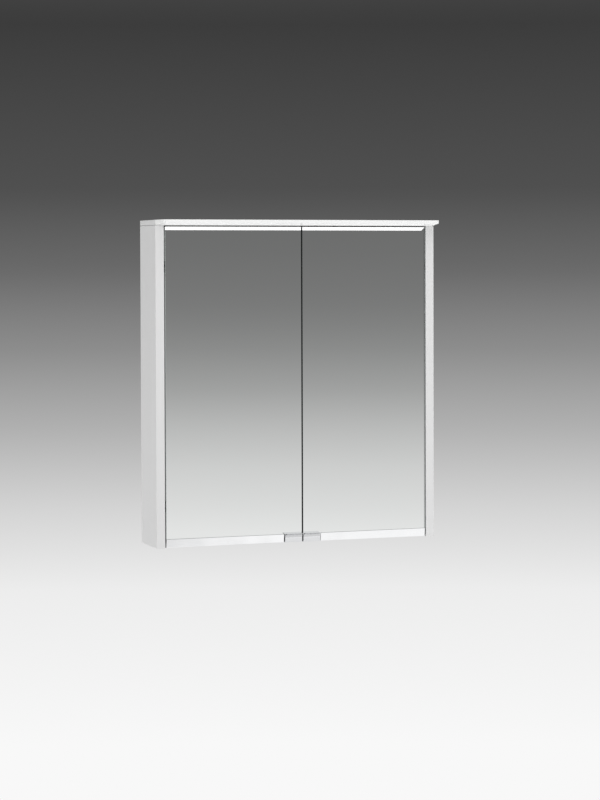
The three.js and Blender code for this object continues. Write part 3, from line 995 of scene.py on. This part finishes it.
@dataclass
class Hinge:
    """One concealed hinge: plate and arm on the side board, housing and pin in the door.

    Attributes:
        side: The door's hand.
        place: Which of the door's hinges it is.
        edge: Rounding of the pressed parts.
        plate_x: How far the plate's face lies from the cabinet's middle.
        plate_step: How far the plate's screws stand above and below the hinge.
        arm_x: How far the arm's face lies from the cabinet's middle.
        arm_y: How far the arm's screw stands in front of the cabinet's back.
        flange_x: How far the housing's screws stand from the cabinet's middle.
        flange_sink: How deep they sit behind the flange's face.
        flange_step: How far they stand above and below the hinge.
    """

    side: Side
    place: str
    edge: float = 0.5 * MM
    plate_x: float = 303.4 * MM
    plate_step: float = 18 * MM
    arm_x: float = 297.3 * MM
    arm_y: float = 60 * MM
    flange_x: float = 269 * MM
    flange_sink: float = 0.6 * MM
    flange_step: float = 15 * MM

    def build(self) -> None:
        """Makes the four parts and the screws that show."""
        hand = self.side.value
        door = f"{self.side.word}_door"
        tail = f"{self.side.word}_{self.place}"
        steel = "nickelled_steel"
        refit(f"hinge_plate_{tail}", "cabinet", steel, NICKEL, self.edge)
        refit(f"hinge_arm_{tail}", "cabinet", steel, NICKEL, self.edge)
        refit(f"hinge_housing_{tail}", door, steel, NICKEL, self.edge)
        refit(f"hinge_pin_{tail}", door, steel, NICKEL, edge=0.3 * MM)
        inward = (-hand, 0, 0)
        low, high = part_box(f"hinge_plate_{tail}")
        middle = (low + high) / 2
        spots = [((hand * self.plate_x, middle.y, middle.z + step), inward)
                 for step in (-self.plate_step, self.plate_step)]
        Screws(f"plate_screws_{tail}", "cabinet", steel, 3.0 * MM).drive_in(spots)
        low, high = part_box(f"hinge_arm_{tail}")
        level = (low.z + high.z) / 2
        adjuster = [((hand * self.arm_x, -self.arm_y, level), inward)]
        Screws(f"arm_screw_{tail}", "cabinet", steel, 2.5 * MM).drive_in(adjuster)
        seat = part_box(f"hinge_housing_{tail}")[1].y - self.flange_sink
        spots = [((hand * self.flange_x, seat, level + step), (0, 1, 0))
                 for step in (-self.flange_step, self.flange_step)]
        Screws(f"housing_screws_{tail}", door, steel, 2.6 * MM).drive_in(spots)


@dataclass
class Door:
    """A door: mirrors bonded to both faces of a core, with a polished rail and a pull tab.

    Attributes:
        side: The door's hand.
        arris: Ground bevel of the mirror's edges.
        band: Height of the glowing band along the mirror's head, a painted reflection of the canopy.
        margin: Width of the darker margin along the right mirror's outer edge, which is painted shade.
        rake: How far the rail's foot stands back from its head.
        sheet: Thickness of the rail's web and flange.
        bond: Space for the tape between the mirror's back and the rail's lip.
        flange: Height of the rail's flange above its web.
        slit: Width of the slit in the rail at the pull tab's outer end, whose inside is painted shade.
        slit_wall: How much of the lip's thickness the slit leaves standing.
        tab_sheet: Thickness of the pull tab.
        tab_spring: How high above the rail's foot the tab's curl springs.
        curl: Radius inside the pull tab's curl.
        curl_turn: How far the curl turns forward, in degrees.
        curl_steps: How many facets it has.
        dome: How wide the bumper's top is, in shares of its foot.
        dome_rim: Width of the rim around the top's middle.
        dome_edge: Rounding of the bumper.
    """

    side: Side
    arris: float = 0.5 * MM
    band: float = 7.6 * MM
    margin: float = 2.2 * MM
    rake: float = 1.8 * MM
    sheet: float = 1.0 * MM
    bond: float = 0.3 * MM
    flange: float = 4 * MM
    slit: float = 1.6 * MM
    slit_wall: float = 0.6 * MM
    tab_sheet: float = 1.4 * MM
    tab_spring: float = 9.6 * MM
    curl: float = 9 * MM
    curl_turn: float = 78.0
    curl_steps: int = 9
    dome: float = 0.8
    dome_rim: float = 1.2 * MM
    dome_edge: float = 0.8 * MM

    @property
    def body(self) -> str:
        """The door's body in the frame."""
        return f"{self.side.word}_door"

    def build(self) -> None:
        """Makes every piece of the door."""
        word = self.side.word
        # Painted shade: the core's meeting edge is coloured dark grey for the gap between the doors.
        refit(f"door_core_{word}", self.body, "white_lacquer", LACQUER, 0.4 * MM, 3,
              (MEETING_CORE_SHADE, lambda middle, way: way.x * self.side.value < -MOSTLY))
        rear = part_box(f"mirror_rear_{word}")[1].y
        self.mirror()
        refit(f"mirror_rear_{word}", self.body, "mirror_glass", GLASS_EDGE, 0.4 * MM, 2,
              (SILVERED, lambda middle, way: way.y > ALONG and middle.y > rear - NEAR))
        self.rail()
        self.tab()
        self.bumper()
        for place in ("lower", "upper"):
            Hinge(self.side, place).build()

    def mirror(self) -> None:
        """The front mirror, with a glowing band under the canopy that is a painted reflection of it."""
        node = f"mirror_front_{self.side.word}"
        low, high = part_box(node)
        foot = high.z - self.band
        stock = Stock.block(f"{node}_made", low, high)
        stock.edit()
        stock.slice((0, 0, foot), Axis.Z.value)
        # On the right door the canopy's painted reflection ends on a diagonal, and a strip of painted shade
        # runs along the outer edge.
        if self.side is Side.RIGHT:
            stock.slice((high.x, 0, high.z), (1, 0, -1))
            stock.slice((high.x - self.margin, 0, 0), Axis.X.value)
        stock.rest()
        stock.break_edges(self.arris, steps=3)
        mitre = high.x if self.side is Side.RIGHT else math.inf
        stock.coat(GLASS_EDGE,
                   # Painted shade: the meeting edge is coloured dark for the gap between the doors.
                   (MEETING_GLASS_SHADE, lambda middle, way: way.x * self.side.value < -MOSTLY),
                   (SILVERED, lambda middle, way: way.y < -ALONG),
                   # Painted shade: a darker strip of silver along the right mirror's outer edge.
                   (SHADE_MARGIN, lambda middle, way: way.y < -ALONG and middle.x > mitre - self.margin),
                   # Painted reflection of the canopy: it glows, and ends on a diagonal on the right door.
                   (CANOPY_REFLECTION_GLOW, lambda middle, way: way.y < -MOSTLY and middle.z > foot
                    and mitre - middle.x > high.z - middle.z))
        fit(stock, self.body, "mirror_glass", node)

    def rail(self) -> None:
        """The rail under the mirror: a raked, polished lip, a web and a short flange behind."""
        node = f"bottom_rail_{self.side.word}"
        low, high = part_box(node)
        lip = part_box(f"mirror_front_{self.side.word}")[1].y - self.bond
        web = low.z + self.sheet
        stock = Stock.block(f"{node}_made", low, (high.x, lip, high.z))
        stock.edit()
        stock.slice((0, 0, web), Axis.Z.value)
        stock.pick_faces(lambda middle, way: way.y > MOSTLY and middle.z < web)
        stock.extrude((0, high.y - lip, 0))
        stock.slice((0, high.y - self.sheet, 0), Axis.Y.value)
        stock.pick_faces(lambda middle, way: way.z > MOSTLY and middle.y > high.y - self.sheet)
        stock.extrude((0, 0, self.flange))
        stock.pick_edges(lambda middle, way: abs(way.x) > ALONG and middle.y < low.y + NEAR
                         and middle.z < web + NEAR)
        stock.shift((0, self.rake, 0))
        stock.rest()
        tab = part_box(f"pull_tab_{self.side.word}")
        end = tab[0].x if self.side is Side.LEFT else tab[1].x
        near, far = sorted((end, end + self.side.value * self.slit))
        floor = lip - self.slit_wall
        stock.cut_with(Stock.block("slit", (near, low.y - OVER, web), (far, floor, high.z + OVER)))
        stock.break_edges(0.15 * MM, steps=3)
        # Painted shade: the rail's cut ends are coloured dark.
        stock.coat(BUFFED, (SHADED_CUT_ENDS, lambda middle, way: abs(way.x) > MOSTLY),
                   # Painted shade: the inside of the slit is coloured dark PVC.
                   (PVC, lambda middle, way: near - NEAR / 2 < middle.x < far + NEAR / 2
                    and low.y + self.slit_wall < middle.y < floor + NEAR))
        fit(stock, self.body, "polished_aluminium", node)

    def tab(self) -> None:
        """The pull tab: a plate on the rail, spun forward into a curl and drawn out to a lip."""
        node = f"pull_tab_{self.side.word}"
        low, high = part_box(node)
        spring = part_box(f"bottom_rail_{self.side.word}")[0].z + self.tab_spring
        front = high.y - self.tab_sheet
        centre = (low.x, front - self.curl, spring)
        stock = Stock.block(f"{node}_made", (low.x, front, low.z), (high.x, high.y, spring))
        stock.edit()
        stock.pick_faces(lambda middle, way: way.z > ALONG)
        turn = math.radians(self.curl_turn)
        bpy.ops.mesh.spin(steps=self.curl_steps, angle=-turn, center=centre, axis=Axis.X.value)
        lip = front - self.curl * (1 - math.cos(turn)) - low.y
        stock.extrude((0, -lip, lip / math.tan(turn)))
        stock.rest()
        stock.break_edges(0.3 * MM, steps=3, corner=35)
        # Painted shade: the tab's cut ends are coloured dark.
        stock.coat(CHROME, (SHADED_CUT_ENDS, lambda middle, way: abs(way.x) > MOSTLY))
        fit(stock, self.body, "chrome", node)

    def bumper(self) -> None:
        """A soft dome that meets the bottom board."""
        node = f"door_bumper_{self.side.word}"
        low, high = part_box(node)
        centre = (low + high) / 2
        stock = Stock.bar(f"{node}_made", Axis.Y, (high.x - low.x) / 2, (centre.x, low.y, centre.z),
                          high.y - low.y, ROUND)
        stock.edit()
        stock.pick_faces(lambda middle, way: way.y > ALONG)
        stock.swell((self.dome, 1, self.dome))
        stock.inset(self.dome_rim)
        stock.rest()
        stock.break_edges(self.dome_edge, steps=4)
        stock.coat(BUFFER)
        fit(stock, self.body, "clear_buffer", node)


# ------------------------------------------------------------------ the studio
@dataclass(frozen=True)
class Softbox:
    """A rectangular light aimed at the cabinet.

    Attributes:
        name: What the studio calls it.
        spot: Where it stands.
        size: Its width and height.
        power: Its power in watts.
    """

    name: str
    spot: tuple[float, float, float]
    size: tuple[float, float]
    power: float

    def hang(self) -> None:
        """Puts the light up."""
        lamp = bpy.data.lights.new(self.name, "AREA")
        lamp.shape = "RECTANGLE"
        lamp.size, lamp.size_y = self.size
        lamp.energy = self.power
        holder = bpy.data.objects.new(self.name, lamp)
        holder.location = self.spot
        holder.rotation_euler = (-Vector(self.spot)).to_track_quat("-Z", "Y").to_euler()
        holder.visible_camera = False
        holder.visible_glossy = False
        bpy.context.scene.collection.objects.link(holder)


@dataclass
class Studio:
    """Camera, lights, floor and the graded surround.

    Attributes:
        spot: Where the camera stands.
        yaw: How far it turns to the right of the wall's direction, in degrees.
        pitch: How far it looks up, in degrees.
        roll: How far it tilts, in degrees.
        lens: Its focal length in millimetres.
        drop: Its vertical shift.
        reach: How far it sees.
        floor_level: Height of the floor.
        floor_middle: Where the floor's middle lies.
        floor_radius: Its radius.
        floor_depth: Its thickness.
        softboxes: The lights.
        lowest: Elevation at which the surround stops changing, in degrees.
        highest: The same at its top.
        seam: Half width of the passage from one half of the surround to the other.
        behind: Elevation and grey level of the surround beyond the wall.
        before: The same for the half that the doors mirror.
    """

    spot: tuple[float, float, float] = (-1.667, -4.847, 0.264)
    yaw: float = 19.492
    pitch: float = -1.714
    roll: float = -0.164
    lens: float = 102.2
    drop: float = -0.0875
    reach: float = 100.0
    floor_level: float = -1.46
    floor_middle: tuple[float, float] = (-2.15, -1.4)
    floor_radius: float = 3.45
    floor_depth: float = 20 * MM
    softboxes: tuple[Softbox, ...] = (
        Softbox("key", (-3.6, -2.3, 2.2), (2.4, 2.0), 46.5),
        Softbox("overhead", (0.3, -0.8, 3.2), (3.0, 2.0), 26),
        Softbox("fill", (1.9, -1.7, -0.3), (0.9, 1.2), 8),
    )
    lowest: float = -12.0
    highest: float = 90.0
    seam: float = 0.2
    behind: tuple[tuple[float, int], ...] = (
        (90, 235), (30, 215), (14, 110), (6.0, 60), (1.8, 80), (-0.2, 106), (-2.2, 141), (-4.2, 177),
        (-6.2, 212), (-8.2, 237), (-12.0, 248))
    before: tuple[tuple[float, int], ...] = (
        (90, 235), (30, 228), (14, 200), (5.0, 150), (1.5, 108), (0.3, 113), (-0.7, 120), (-1.2, 125),
        (-1.7, 133), (-2.2, 142), (-3.2, 163), (-4.2, 189), (-5.2, 209), (-6.2, 222), (-6.8, 231),
        (-9.0, 245), (-12.0, 254))

    def build(self) -> None:
        """Sets the studio up."""
        self.camera()
        self.surround()
        self.floor()
        for softbox in self.softboxes:
            softbox.hang()
        bpy.context.scene.view_settings.view_transform = "Standard"

    def camera(self) -> None:
        """A long lens a little above the middle of the cabinet, from its left."""
        lens = bpy.data.cameras.new("camera")
        lens.lens = self.lens
        lens.shift_y = self.drop
        lens.clip_end = self.reach
        camera = bpy.data.objects.new("camera", lens)
        camera.location = self.spot
        aim = (Matrix.Rotation(math.radians(-self.yaw), 3, "Z")
               @ Matrix.Rotation(math.radians(90 + self.pitch), 3, "X")
               @ Matrix.Rotation(math.radians(self.roll), 3, "Z"))
        camera.rotation_euler = aim.to_euler()
        bpy.context.scene.collection.objects.link(camera)
        bpy.context.scene.camera = camera

    def surround(self) -> None:
        """A grey surround that pales towards the floor, graded behind and before the cabinet."""
        world = bpy.data.worlds.new("surround")
        bpy.context.scene.world = world
        world.use_nodes = True
        tree = world.node_tree
        way = add(tree, "TexCoord").outputs["Generated"]
        parts = add(tree, "SeparateXYZ", {"Vector": way}).outputs
        rise = add(tree, "MapRange", {"Value": parts["Z"], "From Min": self.height(self.lowest),
                                      "From Max": self.height(self.highest)}).outputs["Result"]
        grades = [self.grade(tree, rise, stops) for stops in (self.before, self.behind)]
        facing = add(tree, "MapRange", {"Value": parts["Y"], "From Min": -self.seam, "From Max": self.seam})
        mix = add(tree, "Mix", {MIX_FACTOR: facing.outputs["Result"], MIX_A: grades[0],
                                MIX_B: grades[1]}, data_type="RGBA")
        tree.links.new(mix.outputs[MIX_RESULT], tree.nodes["Background"].inputs["Color"])

    @staticmethod
    def height(elevation: float) -> float:
        """Height of a direction's tip, on a sphere of radius one, at an elevation in degrees."""
        return math.sin(math.radians(elevation))

    def grade(self, tree: bpy.types.NodeTree, rise: bpy.types.NodeSocket,
              stops: tuple[tuple[float, int], ...]) -> bpy.types.NodeSocket:
        """Draws one gradient by elevation.

        Args:
            tree: The world's node tree.
            rise: Zero at the lowest elevation of the gradient, one at the highest.
            stops: Elevation in degrees and grey level from 0 to 255.

        Returns:
            The gradient's colour.
        """
        ramp = add(tree, "ValToRGB", {"Fac": rise})
        band = ramp.color_ramp
        foot = self.height(self.lowest)
        span = self.height(self.highest) - foot
        for index, (elevation, grey) in enumerate(sorted(stops)):
            place = (self.height(elevation) - foot) / span
            stop = band.elements[index] if index < 2 else band.elements.new(place)
            stop.position = place
            stop.color = linear(f"#{grey:02x}{grey:02x}{grey:02x}")
        return ramp.outputs["Color"]

    def floor(self) -> None:
        """A round floor whose far edge darkens the left end of what the doors' rails mirror."""
        drop_all()
        middle = (*self.floor_middle, self.floor_level - self.floor_depth / 2)
        bpy.ops.mesh.primitive_cylinder_add(vertices=96, radius=self.floor_radius, depth=self.floor_depth,
                                            location=middle)
        floor = Stock(bpy.context.object, "floor")
        floor.break_edges(8 * MM, steps=3)
        floor.coat(FLOOR)


def main() -> None:
    """Builds the studio and then the cabinet, one sub-assembly after another."""
    logging.basicConfig(level=logging.INFO, format="%(name)s %(message)s")
    Studio().build()
    for part in (Carcass(), Canopy(), Wiring(), Shelves(), *(Door(side) for side in Side)):
        log.info("building %s", type(part).__name__)
        part.build()


if __name__ == "__main__":
    main()
